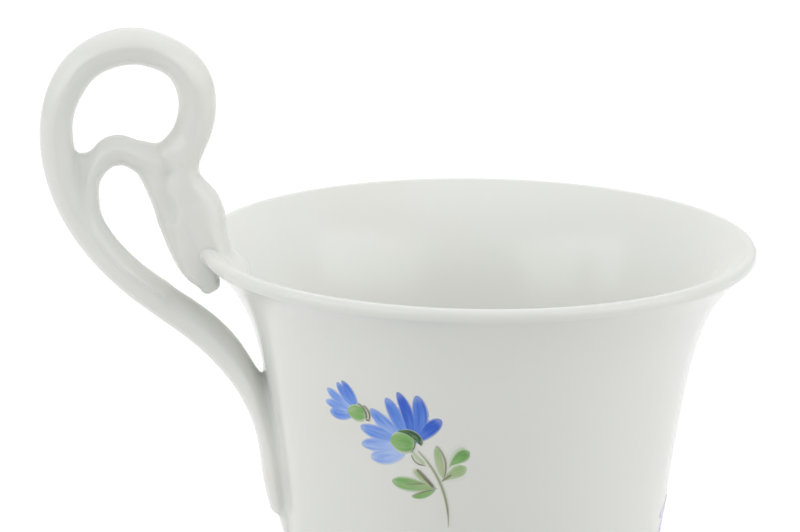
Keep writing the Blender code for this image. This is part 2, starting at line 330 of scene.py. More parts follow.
def bowl_middle_line():
    """Radius and height of the middle of the wall from the lip, round the base, to the axis."""
    lip = WALL / 2
    round_depth = RIM_LEVEL - BASE_LEVEL - WALL / 2 - ROUND_HEIGHT
    share = np.linspace(0.0, 1.0, WALL_RINGS)
    share = RIM_CROWDING * share**2 + (1 - RIM_CROWDING) * share
    wall_depth = lip + (round_depth - lip) * share
    turn = np.linspace(0.0, math.pi / 2, ROUND_RINGS + 1)[1:]
    round_depths = round_depth + ROUND_HEIGHT * np.sin(turn)
    round_radius = BASE_RADIUS + (wall_middle(round_depths) - BASE_RADIUS) * np.cos(turn)
    floor_radius = np.linspace(BASE_RADIUS, 0.0, FLOOR_RINGS + 1)[1:]
    radius = np.concatenate([wall_middle(wall_depth), round_radius, floor_radius])
    depth = np.concatenate([wall_depth, round_depths, np.full(FLOOR_RINGS, round_depths[-1])])
    return np.stack([radius, RIM_LEVEL - depth], axis=1)


def wall_sides():
    """The inner and outer lines, at half the wall's thickness along the middle line's normals."""
    middle = bowl_middle_line()
    outward = left_of(unit(np.gradient(middle, axis=0)))
    outward[-1] = (0.0, -1.0)
    return middle - WALL / 2 * outward, middle + WALL / 2 * outward


def bowl_profile():
    """Section of the bowl: up the inside from the axis, over the round lip, down the outside."""
    inside, outside = wall_sides()
    middle = (inside[0] + outside[0]) / 2
    first = math.atan2(inside[0, 1] - middle[1], inside[0, 0] - middle[0])
    turn = first - np.linspace(0.0, math.pi, LIP_RINGS + 2)[1:-1]
    lip = middle + WALL / 2 * np.stack([np.cos(turn), np.sin(turn)], axis=1)
    return np.concatenate([inside[::-1], lip, outside])


def arc(centre, radius, start, end):
    """Points of a circular arc between two angles in degrees."""
    turn = np.radians(np.linspace(start, end, ARC_STEPS))
    return np.asarray(centre) + radius * np.stack([np.cos(turn), np.sin(turn)], axis=1)


def foot_profile():
    """Section of the foot ring: down its outside from a fillet, over the round edge, up its inside."""
    top = BASE_LEVEL
    crown = FOOT_RADIUS - FOOT_TAPER
    inner = FOOT_RADIUS - FOOT_WALL
    return np.concatenate([
        [(crown + FOOT_FILLET, top + FOOT_SINK)],
        arc((crown + FOOT_FILLET, top - FOOT_FILLET), FOOT_FILLET, 90, 180),
        arc((FOOT_RADIUS - FOOT_EDGE, FOOT_EDGE), FOOT_EDGE, 0, -90),
        arc((inner + FOOT_EDGE, FOOT_EDGE), FOOT_EDGE, -90, -180),
        arc((inner - FOOT_FILLET, top - FOOT_FILLET), FOOT_FILLET, 0, 90),
        [(inner - FOOT_FILLET, top + FOOT_SINK)],
    ])


def grid_quads(rows, columns):
    """Quads of a grid of points, numbered row by row, that is closed along its columns."""
    row = np.arange(rows - 1)[:, None] * columns
    here = np.arange(columns)[None, :]
    beyond = (here + 1) % columns
    quads = np.stack([row + here, row + beyond, row + columns + beyond, row + columns + here], axis=-1)
    return quads.reshape(-1, 4)


def end_fans(rows, columns):
    """Triangles that close such a grid's first and last rows on two points numbered after its own."""
    here = np.arange(columns)
    beyond = (here + 1) % columns
    last = rows * columns
    low = last - columns
    first_fan = np.stack([np.full(columns, last), beyond, here], axis=1)
    last_fan = np.stack([np.full(columns, last + 1), low + here, low + beyond], axis=1)
    return np.concatenate([first_fan, last_fan])


def turned(profile):
    """A profile of radius and height carried round the cup's axis; ends on the axis become poles."""
    angle = np.linspace(0.0, 2 * math.pi, TURN_STEPS, endpoint=False)
    poles = profile[0, 0] < PROBE and profile[-1, 0] < PROBE
    rings = profile[1:-1] if poles else np.concatenate([profile, profile[:1]])
    radius, height = rings[:, :1], rings[:, 1:]
    points = np.stack(
        [AXIS_X + radius * np.cos(angle), radius * np.sin(angle), height + 0 * angle], axis=-1
    )
    quads = grid_quads(len(rings), TURN_STEPS)
    if not poles:
        points = points[:-1].reshape(-1, 3)
        return points, [quads % len(points)]
    ends = np.array([(AXIS_X, 0.0, profile[0, 1]), (AXIS_X, 0.0, profile[-1, 1])])
    points = np.concatenate([points.reshape(-1, 3), ends])
    return points, [quads, end_fans(len(rings), TURN_STEPS)]


def enclosed_volume(points, faces):
    """Volume inside the faces by the sum of the tetrahedra to the origin, negative if inside out."""
    total = 0.0
    for corners in faces:
        for second in range(1, corners.shape[1] - 1):
            a, b, c = (points[corners[:, i]] for i in (0, second, second + 1))
            total += (a * np.cross(b, c)).sum() / 6
    return total


def make_piece(
    name, points, faces, material, replaced=(), attributes=None, loop_uv=None, normals=None
):
    """A mesh object with its faces turned outwards, smooth, that rides on the cup."""
    if enclosed_volume(points, faces) < 0:
        faces = [corners[:, ::-1] for corners in faces]
    mesh = bpy.data.meshes.new(name)
    mesh.from_pydata(points.tolist(), [], [row for corners in faces for row in corners.tolist()])
    mesh.shade_smooth()
    for key, value in (attributes or {}).items():
        mesh.attributes.new(key, "FLOAT", "POINT").data.foreach_set("value", value)
    if loop_uv is not None:
        corner = np.empty(len(mesh.loops), np.int32)
        mesh.loops.foreach_get("vertex_index", corner)
        mesh.uv_layers.new(name="stroke").data.foreach_set("uv", loop_uv[corner].ravel())
    if normals is not None:
        mesh.normals_split_custom_set_from_vertices(normals.tolist())
    mesh.materials.append(material)
    piece = bpy.data.objects.new(name, mesh)
    bpy.context.scene.collection.objects.link(piece)
    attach(piece, "root")
    if replaced:
        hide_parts(*replaced)


class Handle:
    """The handle's distance field in the cup's frame, made of its lines and the bowl's wall."""

    def __init__(self):
        shift = np.array([RIM_RADIUS, RIM_LEVEL])
        self.bars = []
        for stations, width in HANDLE_LINES:
            points, *rest = smooth_line(stations)
            self.bars.append(((points + shift, *rest), width))
        middle = bowl_middle_line()
        self.wall = self.wall_line(middle[middle[:, 1] > BASE_LEVEL + ROUND_HEIGHT / 2])

    @staticmethod
    def wall_line(middle):
        """The wall's middle line in the form that nearest_on takes, without other columns."""
        along = np.concatenate([[0.0], np.cumsum(np.hypot(*np.diff(middle, axis=0).T))])
        even = np.linspace(0.0, along[-1], round(along[-1] / LINE_STEP) + 1)
        points = np.stack([np.interp(even, along, middle[:, i]) for i in (0, 1)], axis=1)
        travel = unit(np.gradient(points, even, axis=0))
        side = -left_of(travel)
        bend = (np.gradient(travel, even, axis=0) * side).sum(axis=1)
        none = np.zeros((len(points), 0))
        return points, travel, side, bend, none, none

    def clay(self, flat, depth):
        """Distance to the run-together bars."""
        field = None
        for line, width in self.bars:
            offset, overrun, values = nearest_on(line, flat)
            if depth.ndim > 1:
                offset, overrun, values = offset[:, None], overrun[:, None], values[:, None, :]
            bar = bar_gap(offset, overrun, values, depth)
            field = bar if field is None else run_together(field, bar, width)
        return field

    def bowl_gap(self, points):
        """Distance to the wall, taken a hair thinner than the bowl so that the bowl's skin covers it."""
        radius = from_axis(points)
        gap = np.full(len(points), FAR)
        close = np.abs(radius - wall_middle(RIM_LEVEL - points[:, 2])) < WALL_REACH
        close &= points[:, 2] < RIM_LEVEL + WALL_REACH
        flat = np.stack([radius, points[:, 2]], axis=1)[close]
        offset, overrun, _ = nearest_on(self.wall, flat)
        gap[close] = np.hypot(offset, overrun) - WALL / 2 + WALL_SHRINK
        return gap

    def joined(self, clay, gap, points):
        """The clay run into the wall, with a wider hollow on the inside, kept close to the clay.

        Below the lip the clay ends within the wall, short of the tea space. Past the hollow's edge
        what is kept of the wall sinks under the bowl's skin.
        """
        depth = np.maximum(RIM_LEVEL - points[:, 2], 0.0)
        low = np.clip(depth / LIP_HOLLOW_DEPTH, 0.0, 1.0)
        lower = np.clip(depth / LIP_HOLLOW_DEPTH - 1.0, 0.0, 1.0)
        width = LIP_HOLLOW + (WALL_HOLLOW - LIP_HOLLOW) * low
        within = wall_middle(depth) - from_axis(points)
        inside = np.clip(within / WALL, 0.0, 1.0) * (1.0 - lower)
        inside = inside * np.clip(depth / INNER_HOLLOW_DEPTH, 0.0, 1.0)
        width = width + (INNER_HOLLOW - width) * inside
        clay = np.maximum(clay, within + CLAY_STOP * WALL - FAR * (1.0 - low))
        gap = gap + np.clip(clay - width, 0.0, NET_STEP)
        return np.maximum(run_together(clay, gap, width), clay - width - NET_STEP)

    def at(self, points):
        """Distance at points of space."""
        flat = np.stack([AXIS_X - points[:, 0], points[:, 2]], axis=1)
        return self.joined(self.clay(flat, points[:, 1]), self.bowl_gap(points), points)

    def slope(self, points):
        """Gradient of the distance by central differences."""
        rows = []
        for axis in np.eye(3) * PROBE:
            rows.append((self.at(points + axis) - self.at(points - axis)) / (2 * PROBE))
        return np.stack(rows, axis=1)

    def hollow(self, points):
        """Share of pooled glaze and painted shade: how far the distance bends inwards, by its second
        differences.
        """
        bend = -6 * self.at(points)
        for axis in np.eye(3) * POOL_PROBE:
            bend += self.at(points + axis) + self.at(points - axis)
        return np.clip(-bend / POOL_PROBE**2 * POOL_RADIUS, 0.0, 1.0)

    def on_grid(self):
        """The distance on an even grid round the handle, with the grid's corner."""
        lines = np.concatenate([line[0] for line, _ in self.bars])
        widest = max(line[4][:, 1].max() for line, _ in self.bars) + NET_MARGIN
        thick = max(line[4][:, 0].max() for line, _ in self.bars) + NET_MARGIN
        low, high = lines.min(axis=0) - thick, lines.max(axis=0) + thick
        x = np.arange(AXIS_X - high[0], AXIS_X - low[0], NET_STEP)
        y = np.arange(-widest, widest, NET_STEP)
        z = np.arange(low[1], high[1], NET_STEP)
        plane = np.stack(np.meshgrid(AXIS_X - x, z, indexing="ij"), axis=-1).reshape(-1, 2)
        clay = self.clay(plane, np.broadcast_to(y, (len(plane), len(y))))
        clay = clay.reshape(len(x), len(z), len(y)).transpose(0, 2, 1).ravel()
        points = np.stack(np.meshgrid(x, y, z, indexing="ij"), axis=-1).reshape(-1, 3)
        gap = np.full(len(points), FAR)
        near = clay < CLAY_REACH
        gap[near] = self.bowl_gap(points[near])
        field = self.joined(clay, gap, points)
        return field.reshape(len(x), len(y), len(z)), np.array([x[0], y[0], z[0]])


def net_surface(field, corner):
    """Surface net of a field's zero level.

    One point in each cell that the level crosses, at the mean of the crossings on the cell's edges,
    and one quad round each crossed edge of the grid.
    """
    size = np.array(field.shape)
    inside = field < 0
    offsets = np.array(np.meshgrid((0, 1), (0, 1), (0, 1), indexing="ij")).reshape(3, -1).T
    windows = [tuple(slice(o, n - 1 + o) for o, n in zip(offset, size)) for offset in offsets]
    filled = sum(inside[window].astype(np.int8) for window in windows)
    cells = np.argwhere((filled > 0) & (filled < 8))
    number = -np.ones(size - 1, np.int64)
    number[tuple(cells.T)] = np.arange(len(cells))
    values = np.stack([field[tuple((cells + offset).T)] for offset in offsets], axis=1)
    total = np.zeros((len(cells), 3))
    count = np.zeros(len(cells))
    pairs = [(a, b) for a in range(8) for b in range(a + 1, 8)]
    for a, b in pairs:
        if abs(offsets[a] - offsets[b]).sum() > 1:
            continue
        crossed = (values[:, a] < 0) != (values[:, b] < 0)
        share = np.where(crossed, values[:, a] / (values[:, a] - values[:, b] + (~crossed)), 0.0)
        total += crossed[:, None] * (offsets[a] + share[:, None] * (offsets[b] - offsets[a]))
        count += crossed
    points = corner + NET_STEP * (cells + total / count[:, None])
    quads = []
    for axis in range(3):
        ahead = np.eye(3, dtype=int)[axis]
        u, v = np.eye(3, dtype=int)[(axis + 1) % 3], np.eye(3, dtype=int)[(axis + 2) % 3]
        before = tuple(slice(0, n - a) for n, a in zip(size, ahead))
        after = tuple(slice(a, n) for n, a in zip(size, ahead))
        edge = np.argwhere(inside[before] != inside[after])
        ring = np.stack([number[tuple((edge - o).T)] for o in (u + v, v, 0 * u, u)], axis=1)
        leaving = inside[tuple(edge.T)]
        ring[~leaving] = ring[~leaving][:, ::-1]
        quads.append(ring)
    return points, np.concatenate(quads)


def handle_surface():
    """The net of the handle's field, moved on to the exact zero level, with its normals and its share of
    pooled glaze and painted shade in hollows.
    """
    handle = Handle()
    points, quads = net_surface(*handle.on_grid())
    for _ in range(NET_MOVES):
        slope = handle.slope(points)
        steep = np.maximum((slope**2).sum(axis=1), LEAST_STEEPNESS)
        move = -handle.at(points) / steep
        points = points + slope * np.clip(move, -LONGEST_MOVE, LONGEST_MOVE)[:, None]
    slope = handle.slope(points)
    normals = slope / np.maximum(np.sqrt((slope**2).sum(axis=1)), TINY)[:, None]
    return points, quads, normals, handle.hollow(points)


# Enamel: strokes of one sprig, in millimetres on the bowl's surface from the blossom's middle, right
# and up: start, end, bow to the left of travel, half width, place of the belly, tone from thin to full
BLOSSOM_STROKES = [
    (0.3, -1.8, -5.85, -3.5, 0.3, 1.4, 0.54, 0.05),
    (0.2, -0.6, -7.45, -1.6, 0.0, 1.3, 0.52, 0.15),
    (0.2, 0.4, -7.35, 1.4, 0.2, 1.35, 0.52, 0.35),
    (0.2, 0.2, -5.15, 4.8, 0.25, 1.3, 0.5, 0.3),
    (0.7, 0.2, -2.3, 7.1, -0.1, 1.25, 0.5, 0.55),
    (1.5, 0.6, -0.35, 8.35, -0.43, 1.1, 0.5, 0.9),
    (2.0, 0.3, 2.6, 8.05, -0.7, 1.4, 0.5, 0.7),
    (1.4, -0.3, 6.3, 4.15, 0.0, 1.25, 0.62, 0.85),
]
BUD_STROKES = [
    (-8.0, 3.7, -13.15, 2.9, 0.3, 1.15, 0.6, 0.35),
    (-8.0, 3.8, -13.75, 4.5, 0.0, 1.0, 0.52, 0.3),
    (-7.9, 4.0, -13.0, 6.85, 0.25, 1.05, 0.56, 0.25),
    (-7.9, 4.2, -10.7, 8.35, 0.2, 0.85, 0.56, 0.45),
    (-7.8, 4.3, -9.75, 8.8, -0.3, 0.9, 0.52, 0.6),
]
PETAL_WASHES = [
    (0.3, -0.8, -6.6, -1.5, 0.2, 2.7, 0.5, 0.2),
    (0.2, 0.6, -4.8, 3.7, 0.0, 2.4, 0.5, 0.4),
    (0.8, 0.6, -0.4, 6.2, -0.3, 2.7, 0.5, 0.6),
    (1.8, 0.4, 4.6, 4.4, 0.0, 2.0, 0.5, 0.65),
]
BUD_WASHES = [(-8.4, 3.9, -12.9, 5.4, 0.0, 2.1, 0.55, 0.2)]
CALYX_STROKES = [
    (-2.1, 0.0, 2.05, -0.4, 0.0, 2.05, 0.5, 0.45),
    (-0.8, 1.55, 3.15, -0.2, 0.8, 0.75, 0.66, 1.0),
    (1.6, 1.3, 3.0, -0.5, 0.3, 0.6, 0.5, 0.85),
]
BUD_CALYX_STROKES = [(-9.4, 3.6, -5.95, 3.85, 0.0, 1.65, 0.5, 0.4)]
LEAF_STROKES = [
    (5.15, -7.65, 1.6, -4.65, 0.2, 0.6, 0.5, 0.0),
    (5.4, -7.65, -2.3, -7.1, 0.0, 1.3, 0.64, 0.35),
    (5.1, -7.85, 1.05, -9.35, 0.27, 0.65, 0.55, 0.38),
    (6.5, -5.9, 5.4, -0.3, 0.13, 0.8, 0.55, 0.0),
    (6.5, -6.15, 10.2, -3.8, 0.14, 1.15, 0.66, 0.12),
    (7.55, -3.6, 10.65, -1.1, 0.15, 1.15, 0.66, 0.5),
]
LEAF_WASHES = [
    (1.4, -1.5, 3.8, -3.8, -0.2, 0.75, 0.5, 0.0),
    (2.4, -1.4, 7.2, -14.0, 1.45, 0.55, 0.5, 0.0),
    (5.2, -7.6, 1.2, -4.4, 0.3, 1.0, 0.5, 0.0),
    (7.4, -4.0, 10.4, -0.4, 0.3, 1.5, 0.6, 0.1),
    (6.4, -6.2, 10.4, -3.8, 0.2, 1.5, 0.6, 0.1),
]
LINE_STROKES = [
    (2.4, -1.4, 7.2, -14.15, 1.45, 0.2, 0.5, 0.25),
    (1.2, 1.6, 1.2, -1.9, 0.8, 0.11, 0.5, 0.7),
    (1.3, -2.2, 3.6, -3.8, -0.6, 0.11, 0.5, 0.45),
    (2.1, -4.6, 5.1, -7.75, 0.05, 0.38, 0.42, 0.65),
    (0.3, -7.2, 3.5, -6.9, 0.0, 0.12, 0.5, 0.45),
    (1.3, -9.2, 5.1, -7.8, 0.2, 0.14, 0.5, 0.45),
    (5.6, -0.4, 6.5, -5.9, 0.8, 0.16, 0.5, 0.45),
    (6.2, -6.3, 7.9, -5.0, 0.0, 0.2, 0.5, 0.5),
]
BUD_LINE_STROKES = [
    (-7.3, 5.4, -6.1, 2.7, 0.6, 0.13, 0.5, 0.7),
    (-6.3, 5.2, -5.6, 2.7, 0.5, 0.14, 0.5, 0.7),
    (-6.1, 2.7, -5.5, 2.7, 0.0, 0.12, 0.5, 0.7),
]
SMALL_LEAF_STROKES = [
    (-0.9, -6.2, -5.2, -5.0, 0.2, 1.0, 0.62, 0.3),
    (-1.3, -7.4, 2.4, -9.4, -0.2, 1.0, 0.62, 0.45),
]
SMALL_LINE_STROKES = [(0.1, -1.8, -1.7, -10.4, 0.5, 0.2, 0.5, 0.25)]
SMALL_BLOSSOM_STROKES = BLOSSOM_STROKES[3:]
SMALL_PETAL_WASHES = PETAL_WASHES[1:]
STROKE_STATIONS = 29
STROKE_SIDES = 20
# Power of a stroke's width: a low one makes it blunt, a high one pointed
PETAL_FULLNESS = 0.44
CALYX_FULLNESS = 0.5
LEAF_FULLNESS = 0.52
LINE_FULLNESS = 0.3
WASH_FULLNESS = 0.5
# Film of enamel: its height over the glaze, its sink into it, its rise from stroke to stroke, and how
# much higher or lower the other layers lie
FILM = 0.05 * MM
FILM_SINK = 0.03 * MM
FILM_LAYER = 0.004 * MM
WASH_LIFT = -0.03 * MM
CALYX_LIFT = 2 * FILM
SMALL_CALYX_LIFT = FILM
LINE_LIFT = 3 * FILM
# Each sprig: direction in plan, height of the blossom, turn on the surface, 1 or -1 if mirrored, whole
# (with bud and all petals) or not
SPRIGS = {
    "front": (-114, 41.4 * MM, 0, 1, True),
    "side": (-5.2, 22.5 * MM, 147, 1, False),
    "back": (126, 41.4 * MM, 0, -1, True),
}


def stroke_plan(row, fullness):
    """A stroke's middle line and half widths in the sprig's plane, in metres.

    The line runs from start to end with a parabolic bow; the half width is
    sin(pi * place**q)**fullness with q set so that the belly lies where the row says.
    """
    start, end = MM * np.array(row[0:2]), MM * np.array(row[2:4])
    bow, half, belly = MM * row[4], MM * row[5], row[6]
    place = (1 - np.cos(np.linspace(0.0, math.pi, STROKE_STATIONS))) / 2
    travel = (end - start) / np.hypot(*(end - start))
    left = np.array([-travel[1], travel[0]])
    line = start + place[:, None] * (end - start)
    line += (4 * bow * place * (1 - place))[:, None] * left
    power = math.log(0.5) / math.log(belly)
    width = half * np.sin(math.pi * place**power).clip(0.0, 1.0) ** fullness
    return place, line, width


def stroke_surface(row, fullness, sprig, lift):
    """A stroke as a closed film: a lens section, crowned above and sunk below, along its line.

    Gives points, quads and end fans, and each point's place along and across the stroke.
    """
    direction, level, turn, mirror, _ = sprig
    place, line, width = stroke_plan(row, fullness)
    left = left_of(unit(np.gradient(line, axis=0)))
    rings = STROKE_STATIONS - 2
    around = np.linspace(0.0, 2 * math.pi, STROKE_SIDES, endpoint=False)
    across = np.cos(around)
    rise = np.where(np.sin(around) > 0, FILM + lift, FILM_SINK) * np.sin(around)
    flat = line[1:-1, None, :] + (width[1:-1, None] * across)[..., None] * left[1:-1, None, :]
    flat = np.concatenate([flat.reshape(-1, 2), line[:1], line[-1:]])
    height = np.concatenate([np.tile(rise, rings), [0.0, 0.0]])
    uv_along = np.concatenate([np.repeat(place[1:-1], STROKE_SIDES), [0.0, 1.0]])
    uv_across = np.concatenate([np.tile((across + 1) / 2, rings), [0.5, 0.5]])
    spin = math.radians(turn)
    right = mirror * flat[:, 0] * math.cos(spin) - flat[:, 1] * math.sin(spin)
    up = mirror * flat[:, 0] * math.sin(spin) + flat[:, 1] * math.cos(spin)
    points = on_bowl(math.radians(direction), level, right, up, height)
    faces = [grid_quads(rings, STROKE_SIDES), end_fans(rings, STROKE_SIDES)]
    if enclosed_volume(points - points.mean(axis=0), faces) < 0:
        faces = [corners[:, ::-1] for corners in faces]
    return points, faces, np.stack([uv_along, uv_across], axis=1)


def on_bowl(direction, level, right, up, height):
    """Points at a distance right and up of a place on the bowl's outside, raised along its normal."""
    outside = wall_sides()[1][:WALL_RINGS][::-1]
    slope = np.gradient(outside[:, 0], outside[:, 1])
    z = level + up
    radius = np.interp(z, outside[:, 1], outside[:, 0])
    lean = np.interp(z, outside[:, 1], slope)
    length = np.sqrt(1 + lean**2)
    angle = direction + right / np.interp(level, outside[:, 1], outside[:, 0])
    reach = radius + height / length
    return np.stack(
        [AXIS_X + reach * np.cos(angle), reach * np.sin(angle), z - height * lean / length], axis=1
    )


def painted(name, groups, sprig, material):
    """All strokes of one colour in one sprig, each a little higher than the one before."""
    points, quads, fans, places, tones, seeds = [], [], [], [], [], []
    count = 0
    for rows, fullness, raise_by in groups:
        for row in rows:
            lift = raise_by + FILM_LAYER * len(points)
            part, (grid, ends), place = stroke_surface(row, fullness, sprig, lift)
            quads.append(grid + count)
            fans.append(ends + count)
            points.append(part)
            places.append(place)
            tones.append(np.full(len(part), row[7]))
            seeds.append(np.full(len(part), float(len(points))))
            count += len(part)
    attributes = {"tone": np.concatenate(tones), "brush": np.concatenate(seeds)}
    make_piece(
        name, np.concatenate(points), [np.concatenate(quads), np.concatenate(fans)], material,
        attributes=attributes, loop_uv=np.concatenate(places),
    )


# Finishes
GLAZE_BODY = (0.80, 0.81, 0.775, 1.0)
# Painted shade: this darker colour stands partly for glaze that pools in hollows and partly for the shade
# that falls there
GLAZE_POOLED_AND_SHADED = (0.65, 0.69, 0.65, 1.0)
GLAZE_WARM = (0.80, 0.79, 0.74, 1.0)
GLAZE_SPECK = (0.42, 0.41, 0.40, 1.0)
WIPED_CLAY = (0.74, 0.71, 0.65, 1.0)
BLUES = ((0.42, 0.56, 0.91, 1.0), (0.12, 0.28, 0.80, 1.0), (0.012, 0.10, 0.62, 1.0))
LILACS = ((0.66, 0.64, 0.87, 1.0), (0.55, 0.53, 0.82, 1.0), (0.46, 0.43, 0.75, 1.0))
GREENS = ((0.46, 0.56, 0.33, 1.0), (0.20, 0.44, 0.12, 1.0), (0.015, 0.09, 0.03, 1.0))
BROWNS = ((0.42, 0.47, 0.30, 1.0), (0.24, 0.25, 0.15, 1.0), (0.11, 0.10, 0.06, 1.0))
WHITE = (1.0, 1.0, 1.0, 1.0)
# Glaze: scales of its clouds, ripple and specks, how strongly each tints it (the darker colour in hollows
# is partly painted shade), and its gloss
CLOUD_SCALE = 45.0
CLOUD_SHARE = 0.6
POOL_AND_SHADE_SHARE = 0.6
SPECK_SCALE = 85.0
SPECK_EDGE = (0.016, 0.01)
SPECK_RARITY = 0.86
SPECK_SHARE = 0.6
RIPPLE_SCALE = 160.0
RIPPLE_HEIGHT = 0.01 * MM
GLAZE_ROUGHNESS = (0.16, 0.22)
GLAZE_COAT_ROUGHNESS = 0.17
# Wiped foot: grain of the bare clay, waver and softness of the glaze's edge
GRAIN_SCALE = 700.0
WIPE_WAVER = 0.3 * MM
WIPE_SOFTNESS = 0.25 * MM
CLAY_SHADE = 0.9
CLAY_ROUGHNESS = 0.8
# Enamel: spacing of the brush's hairs across, along and from stroke to stroke, where the tip begins to
# thin, and how the colour deepens along the stroke
HAIR_ACROSS, HAIR_ALONG, HAIR_SEED = 4.5, 1.6, 3.7
TIP_START = 0.8
LOADING = (0.15, 0.75, -0.1, 0.1)
ENAMEL_ROUGHNESS = (0.2, 0.3)
# Cover of a stroke: width of its edge, cover at the rim, at the tip and in the middle, strength of streaks
PETAL_COVER = (0.35, 0.5, 0.75, 1.0, 0.7)
LEAF_COVER = (0.4, 0.3, 0.75, 1.0, 0.5)
LINE_COVER = (0.5, 0.4, 0.6, 1.0, 0.4)
WASH_COVER = (1.0, 0.0, 0.0, 0.85, 0.3)
ENAMELS = {
    "blue_enamel": (BLUES, PETAL_COVER),
    "blue_wash": (BLUES, WASH_COVER),
    "lilac_enamel": (LILACS, PETAL_COVER),
    "lilac_wash": (LILACS, WASH_COVER),
    "green_enamel": (GREENS, LEAF_COVER),
    "green_wash": (GREENS, WASH_COVER),
    "brown_enamel": (BROWNS, LINE_COVER),
}


def add(tree, kind, inputs=None, **settings):
    """A node with its settings, its inputs set to values or joined to sockets."""
    node = tree.nodes.new(kind)
    for key, value in settings.items():
        setattr(node, key, value)
    for key, value in (inputs or {}).items():
        if isinstance(value, bpy.types.NodeSocket):
            tree.links.new(value, node.inputs[key])
        else:
            node.inputs[key].default_value = value
    return node


def maths(tree, operation, a, b=0.0):
    """The result of a maths node."""
    return add(tree, "ShaderNodeMath", {0: a, 1: b}, operation=operation).outputs[0]


def mixed(tree, share, a, b):
    """A colour between a and b."""
    return add(tree, "ShaderNodeMix", {0: share, 6: a, 7: b}, data_type="RGBA").outputs[2]


def noise(tree, where, scale, detail):
    """Noise between 0 and 1 at a scale."""
    inputs = {"Vector": where, "Scale": scale, "Detail": detail}
    return add(tree, "ShaderNodeTexNoise", inputs).outputs["Fac"]


def eased(tree, value, low, high, to_low=0.0, to_high=1.0):
    """A smooth step from one value to another as value goes from low to high."""
    inputs = {"Value": value, "From Min": low, "From Max": high, "To Min": to_low, "To Max": to_high}
    return add(tree, "ShaderNodeMapRange", inputs, interpolation_type="SMOOTHSTEP").outputs["Result"]


def new_group(name, inputs, outputs):
    """A shader node group with named sockets; gives the group, its inputs and its output node."""
    group = bpy.data.node_groups.new(name, "ShaderNodeTree")
    for key, kind in inputs:
        group.interface.new_socket(key, in_out="INPUT", socket_type=kind)
    for key, kind in outputs:
        group.interface.new_socket(key, in_out="OUTPUT", socket_type=kind)
    return group, group.nodes.new("NodeGroupInput").outputs, group.nodes.new("NodeGroupOutput").inputs


COLOUR = "NodeSocketColor"
NUMBER = "NodeSocketFloat"


def glaze_depth_group():
    """Clear glaze over white clay: faint warm clouds, a deeper, darker colour in hollows that is partly
    glaze pooled there and partly painted shade, rare specks.
    """
    group, given, put = new_group(
        "glaze_depth",
        [("Body", COLOUR), ("Warm", COLOUR), ("Pooled and shaded", COLOUR), ("Speck", COLOUR), ("Pool and shade", NUMBER)],
        [("Colour", COLOUR), ("Roughness", NUMBER), ("Height", NUMBER)],
    )
    where = add(group, "ShaderNodeTexCoord").outputs["Object"]
    clouds = noise(group, where, CLOUD_SCALE, 2.0)
    ripple = noise(group, where, RIPPLE_SCALE, 1.0)
    cells = add(group, "ShaderNodeTexVoronoi", {"Vector": where, "Scale": SPECK_SCALE})
    chance = add(group, "ShaderNodeSeparateColor", {"Color": cells.outputs["Color"]}).outputs[0]
    dot = eased(group, cells.outputs["Distance"], *SPECK_EDGE)
    speck = maths(group, "MULTIPLY", dot, maths(group, "GREATER_THAN", chance, SPECK_RARITY))
    colour = mixed(group, eased(group, clouds, 0.45, 0.75, 0.0, CLOUD_SHARE), given["Body"], given["Warm"])
    # Hollows take the darker colour: partly glaze pooled there, partly painted shade
    colour = mixed(group, maths(group, "MULTIPLY", given["Pool and shade"], POOL_AND_SHADE_SHARE), colour, given["Pooled and shaded"])
    colour = mixed(group, maths(group, "MULTIPLY", speck, SPECK_SHARE), colour, given["Speck"])
    group.links.new(colour, put["Colour"])
    group.links.new(eased(group, clouds, 0.3, 0.7, *GLAZE_ROUGHNESS), put["Roughness"])
    group.links.new(ripple, put["Height"])
    return group


def brushed_enamel_group():
    """Brushed enamel: thin to full colour by the stroke's tone, streaks, and edges that thin out."""
    group, given, put = new_group(
        "brushed_enamel",
        [("Thin", COLOUR), ("Middle", COLOUR), ("Full", COLOUR), ("Ground", COLOUR), ("Edge", NUMBER),
         ("Rim", NUMBER), ("Tip", NUMBER), ("Cover", NUMBER), ("Streak", NUMBER)],
        [("Colour", COLOUR), ("Roughness", NUMBER)],
    )
    stroke = add(group, "ShaderNodeUVMap", uv_map="stroke").outputs["UV"]
    parts = add(group, "ShaderNodeSeparateXYZ", {"Vector": stroke})
    along, across = parts.outputs["X"], parts.outputs["Y"]
    tone = add(group, "ShaderNodeAttribute", attribute_name="tone").outputs["Fac"]
    brush = add(group, "ShaderNodeAttribute", attribute_name="brush").outputs["Fac"]
    hair = add(group, "ShaderNodeCombineXYZ", {
        "X": maths(group, "MULTIPLY", across, HAIR_ACROSS),
        "Y": maths(group, "MULTIPLY", along, HAIR_ALONG),
        "Z": maths(group, "MULTIPLY", brush, HAIR_SEED),
    }).outputs["Vector"]
    streak = noise(group, hair, 1.0, 2.0)
    streak = maths(group, "MULTIPLY", maths(group, "SUBTRACT", streak, 0.5), given["Streak"])
    side = maths(group, "ABSOLUTE", maths(group, "SUBTRACT", maths(group, "MULTIPLY", across, 2.0), 1.0))
    margin = maths(group, "SUBTRACT", 1.0, side)
    cover = eased(group, margin, 0.0, given["Edge"], given["Rim"], given["Cover"])
    tip = eased(group, along, TIP_START, 1.0, 1.0, given["Tip"])
    cover = maths(group, "MULTIPLY", cover, tip)
    depth = maths(group, "ADD", maths(group, "ADD", tone, streak), eased(group, along, *LOADING))
    deeper = maths(group, "SUBTRACT", maths(group, "MULTIPLY", depth, 2.0), 1.0)
    pigment = mixed(group, maths(group, "MULTIPLY", depth, 2.0), given["Thin"], given["Middle"])
    pigment = mixed(group, deeper, pigment, given["Full"])
    group.links.new(mixed(group, cover, given["Ground"], pigment), put["Colour"])
    group.links.new(eased(group, streak, -0.3, 0.3, *ENAMEL_ROUGHNESS), put["Roughness"])
    return group


